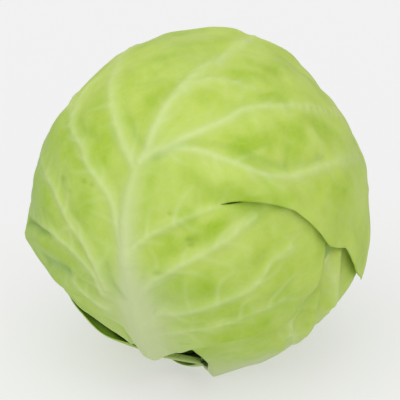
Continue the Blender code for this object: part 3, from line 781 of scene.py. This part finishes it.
def fine_leaf(leaf, columns, rings, skin):
    """A grid rolled out over the head and extruded, as the inner and the outer face of the blade."""
    bm = bmesh.new()
    bmesh.ops.create_grid(bm, x_segments=columns, y_segments=rings, size=0.5)
    keep_turn = bm.verts.layers.float.new("turn")
    keep_out = bm.verts.layers.float.new("out")
    for vert in bm.verts:
        vert[keep_turn] = vert.co.x + 0.5
        vert[keep_out] = vert.co.y + 0.5

    def place(verts, outer):
        turn = np.array([v[keep_turn] for v in verts])
        out = np.array([v[keep_out] for v in verts])
        points = leaf_surface(leaf, turn, out, outer) + HEAD_CENTRE
        points[:, 2] = np.maximum(points[:, 2], 0.0 if outer else FLOOR_BLADE)
        for vert, point in zip(verts, points):
            vert.co = point

    place(bm.verts, False)
    bmesh.ops.remove_doubles(bm, verts=bm.verts, dist=1e-6)
    raised = bmesh.ops.extrude_face_region(bm, geom=bm.faces[:], use_keep_orig=True)
    place([v for v in raised["geom"] if isinstance(v, bmesh.types.BMVert)], True)
    bmesh.ops.recalc_face_normals(bm, faces=bm.faces)
    made = as_object(leaf.name + "_blade", bm, skin)
    paint_leaf(leaf, made.data)
    return made


def fine_heart(skin):
    """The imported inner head: one ball with its leaves' margins as low steps."""
    bm = bmesh.new()
    bmesh.ops.create_icosphere(bm, subdivisions=6, radius=1.0)
    ways = np.array([v.co.normalized() for v in bm.verts])
    radius = heart_radius(ways) - PACKED_DROP + 0.12 * MM * ripple(ways, 14 * MM, 9)
    for azimuth in PACKED_TURNS:
        packed = Leaf("packed", azimuth, mirrored(PLAIN_OUTLINE), [])
        distance, angle = packed.polar(ways)
        radius += PACKED_STEP * smoothstep(-0.6, 0.6, packed.reach(angle) - PACKED_SHORTER - distance)
    for vert, point in zip(bm.verts, ways * radius[:, None] + HEAD_CENTRE):
        vert.co = point
    made = as_object("packed_heart", bm, skin)
    paint_leaf(LEAVES["leaf_left"], made.data)
    return made


def fine_stem(skin):
    """The cut stump: a peg with a broken rim, a slightly sunken pith and a rough cut face."""
    pole = STEM_WAY[None, :]
    inner_end = float(heart_radius(pole)[0]) + STEM_CLEARANCE
    outer_end = float(bed_radius(LEAVES["leaf_front"], pole)[0]) + CAD_BLADE + STEM_PROUD
    deep = outer_end - inner_end
    bm = bmesh.new()
    bmesh.ops.create_cone(bm, cap_ends=True, segments=72, radius1=STEM_RADIUS,
                          radius2=STEM_RADIUS * STEM_TAPER, depth=deep)
    rim = [e for e in bm.edges if all(v.co.z < 0 for v in e.verts)]
    bmesh.ops.bevel(bm, geom=rim, offset=STEM_BEVEL, segments=4, profile=0.5, affect="EDGES", material=-1)
    cut = [f for f in bm.faces if f.calc_center_median().z < 0 and len(f.verts) > 8]
    for _ in range(5):
        bmesh.ops.inset_region(bm, faces=cut, thickness=STEM_RADIUS * 0.13, use_even_offset=True)
    draw = np.random.default_rng(12)
    rind = []
    for vert in bm.verts:
        across = math.hypot(vert.co.x, vert.co.y) / STEM_RADIUS
        rind.append(smoothstep(0.72, 0.9, across))
        if vert.co.z < -deep * 0.4 and across < 0.8:
            vert.co.z += (0.25 * (0.8 - across) + draw.uniform(-0.06, 0.06)) * MM
    turn = Vector((0, 0, -1)).rotation_difference(Vector(STEM_WAY)).to_matrix().to_4x4()
    middle = Vector(HEAD_CENTRE + STEM_WAY * (inner_end + outer_end) / 2)
    bmesh.ops.transform(bm, matrix=Matrix.Translation(middle) @ turn, verts=bm.verts)
    made = as_object("cut_stem", bm, skin)
    set_attribute(made.data, "rind", rind)
    return made


def colour(name, description, default):
    """A colour property with its default given as an sRGB hex code."""
    return bpy.props.FloatVectorProperty(name=name, description=description, default=linear(default)[:3],
                                         subtype="COLOR", min=0.0, max=1.0)


class HeadLook(bpy.types.PropertyGroup):
    """Colours of the head and its stage, and the fineness of the leaves."""

    # Painted light and shade of the blade: its lit top and right, and its shaded lower left.
    blade_painted_lit_top: colour("Blade, sunny side", "Green of the top and right of the head", "#BAD055")
    blade_painted_shade_side: colour("Blade, shaded side", "Green of the lower left of the head", "#A3C04A")
    blade_light: colour("Light green", "Colour of the thinner, paler parts of the blade", "#C8DB80")
    rich_green: colour("Rich green", "Fuller, yellower green between the veins", "#9DBD2C")
    # Colour of the painted shade.
    shade_green: colour("Shaded green", "Green in creases and in the leaves' shade", "#6FA03C")
    vein_pale: colour("Vein", "Colour of the veins", "#CFDE9A")
    foot_pale: colour("Leaf foot", "Whitish colour of the midrib and the leaf's foot", "#C4D09C")
    bruise: colour("Bruise", "Colour of the small bruised spots", "#86A81E")
    pith_light: colour("Pith", "Colour of the cut stem", "#DDDDB4")
    pith_dark: colour("Dried pith", "Colour of the darker cut stem", "#BDB780")
    rind_green: colour("Rind", "Colour round the cut stem", "#A9BE6C")
    floor: colour("Floor", "Colour of the light table", "#F2F2F2")
    floor_glow: bpy.props.FloatProperty(name="Floor glow", description="Share of the table's light from beneath",
                                        default=0.56, min=0.0, max=1.0)
    vein_shown: bpy.props.FloatProperty(name="Veins shown", description="How pale the raised veins are",
                                        default=0.8, min=0.0, max=1.0)
    twig_shown: bpy.props.FloatProperty(name="Fine veins shown", description="How pale the fine veins are",
                                        default=0.42, min=0.0, max=1.0)
    wax_roughness: bpy.props.FloatProperty(name="Wax roughness", description="How dull the waxy blade is",
                                           default=0.5, min=0.0, max=1.0)
    front_columns: bpy.props.IntProperty(name="Front columns", description="Columns of the front leaf",
                                         default=320, min=40)
    front_rings: bpy.props.IntProperty(name="Front rings", description="Rings of the front leaf",
                                       default=140, min=12)
    other_columns: bpy.props.IntProperty(name="Columns", description="Columns of the other leaves",
                                         default=220, min=40)
    other_rings: bpy.props.IntProperty(name="Rings", description="Rings of the other leaves",
                                       default=90, min=12)


class StageLook(bpy.types.PropertyGroup):
    """Where the camera stands and how strong the studio lights are."""

    elevation: bpy.props.FloatProperty(name="Elevation", description="Camera above the horizon",
                                       default=math.radians(22), subtype="ANGLE")
    distance: bpy.props.FloatProperty(name="Distance", description="Camera to the head's middle",
                                      default=1.10, unit="LENGTH")
    lens: bpy.props.FloatProperty(name="Lens", description="Focal length on a 36 mm sensor",
                                  default=191.0, subtype="DISTANCE_CAMERA")
    right: bpy.props.FloatProperty(name="Right", description="Camera moved to the right", default=0.0005,
                                   unit="LENGTH")
    up: bpy.props.FloatProperty(name="Up", description="Camera moved up", default=0.0010, unit="LENGTH")
    key: bpy.props.FloatProperty(name="Key", description="Strength of the overhead sun", default=1.25)
    sky: bpy.props.FloatProperty(name="Sky", description="Strength of the even light all round", default=0.55)


class CABBAGE_OT_leaves(bpy.types.Operator):
    """Lays the four wrapper leaves over the head"""

    bl_idname = "cabbage.leaves"
    bl_label = "Wrapper leaves"

    def execute(self, context):
        look = context.scene.head_look
        skin = leaf_material(look)
        for leaf in LEAVES.values():
            front = leaf.name == "leaf_front"
            columns = look.front_columns if front else look.other_columns
            rings = look.front_rings if front else look.other_rings
            made = fine_leaf(leaf, columns, rings, skin)
            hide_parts(leaf.name)
        return {"FINISHED"}


class CABBAGE_OT_heart(bpy.types.Operator):
    """Makes the dense inner head"""

    bl_idname = "cabbage.heart"
    bl_label = "Inner head"

    def execute(self, context):
        made = fine_heart(leaf_material(context.scene.head_look))
        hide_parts("heart")
        return {"FINISHED"}


class CABBAGE_OT_stem(bpy.types.Operator):
    """Makes the cut stem"""

    bl_idname = "cabbage.stem"
    bl_label = "Cut stem"

    def execute(self, context):
        made = fine_stem(pith_material(context.scene.head_look))
        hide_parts("stem")
        return {"FINISHED"}


class CABBAGE_OT_stage(bpy.types.Operator):
    """Lays the floor and sets the camera and the soft studio lights"""

    bl_idname = "cabbage.stage"
    bl_label = "Stage"

    def execute(self, context):
        scene = context.scene
        stage = scene.stage_look
        bm = bmesh.new()
        bmesh.ops.create_grid(bm, x_segments=1, y_segments=1, size=FLOOR_HALF)
        mesh = bpy.data.meshes.new("floor")
        bm.to_mesh(mesh)
        bm.free()
        mesh.materials.append(floor_material(scene.head_look))
        floor = bpy.data.objects.new("floor", mesh)
        scene.collection.objects.link(floor)

        e = stage.elevation
        back = Vector((0.0, -math.cos(e), math.sin(e)))
        up = Vector((0.0, math.sin(e), math.cos(e)))
        data = bpy.data.cameras.new("camera")
        data.lens = stage.lens
        data.sensor_width = 36.0
        camera = bpy.data.objects.new("camera", data)
        camera.location = Vector(HEAD_CENTRE) + back * stage.distance + up * stage.up + Vector((stage.right, 0, 0))
        camera.rotation_euler = (math.pi / 2 - e, 0.0, 0.0)
        scene.collection.objects.link(camera)
        scene.camera = camera

        for name, height, bearing, disc, share in STUDIO_SUNS:
            lamp = bpy.data.lights.new(name, "SUN")
            lamp.angle = math.radians(disc)
            lamp.energy = stage.key * share
            a, b = math.radians(bearing), math.radians(height)
            towards = Vector((math.cos(a) * math.cos(b), math.sin(a) * math.cos(b), math.sin(b)))
            made = bpy.data.objects.new(name, lamp)
            made.location = Vector(HEAD_CENTRE) + towards
            made.rotation_euler = towards.to_track_quat("Z", "Y").to_euler()
            scene.collection.objects.link(made)
        world = bpy.data.worlds.new("even studio light")
        world.use_nodes = True
        world.node_tree.nodes["Background"].inputs["Color"].default_value = (1.0, 1.0, 1.0, 1.0)
        world.node_tree.nodes["Background"].inputs["Strength"].default_value = stage.sky
        scene.world = world
        scene.view_settings.view_transform = "Standard"
        return {"FINISHED"}


class CABBAGE_PT_panel(bpy.types.Panel):
    """Lists what builds the head"""

    bl_label = "Green head cabbage"
    bl_space_type = "VIEW_3D"
    bl_region_type = "UI"
    bl_category = "Cabbage"

    def draw(self, context):
        for group in (context.scene.head_look, context.scene.stage_look):
            for name in group.bl_rna.properties.keys():
                if name not in ("rna_type", "name"):
                    self.layout.prop(group, name)
        for operator in OPERATORS:
            self.layout.operator(operator.bl_idname)


OPERATORS = (CABBAGE_OT_leaves, CABBAGE_OT_heart, CABBAGE_OT_stem, CABBAGE_OT_stage)
CLASSES = (HeadLook, StageLook, CABBAGE_PT_panel) + OPERATORS


def register():
    for made in CLASSES:
        bpy.utils.register_class(made)
    bpy.types.Scene.head_look = bpy.props.PointerProperty(type=HeadLook)
    bpy.types.Scene.stage_look = bpy.props.PointerProperty(type=StageLook)


def unregister():
    del bpy.types.Scene.stage_look
    del bpy.types.Scene.head_look
    for made in reversed(CLASSES):
        bpy.utils.unregister_class(made)


def main():
    register()
    bpy.ops.cabbage.leaves()
    bpy.ops.cabbage.heart()
    bpy.ops.cabbage.stem()
    bpy.ops.cabbage.stage()


if __name__ == "__main__":
    main()
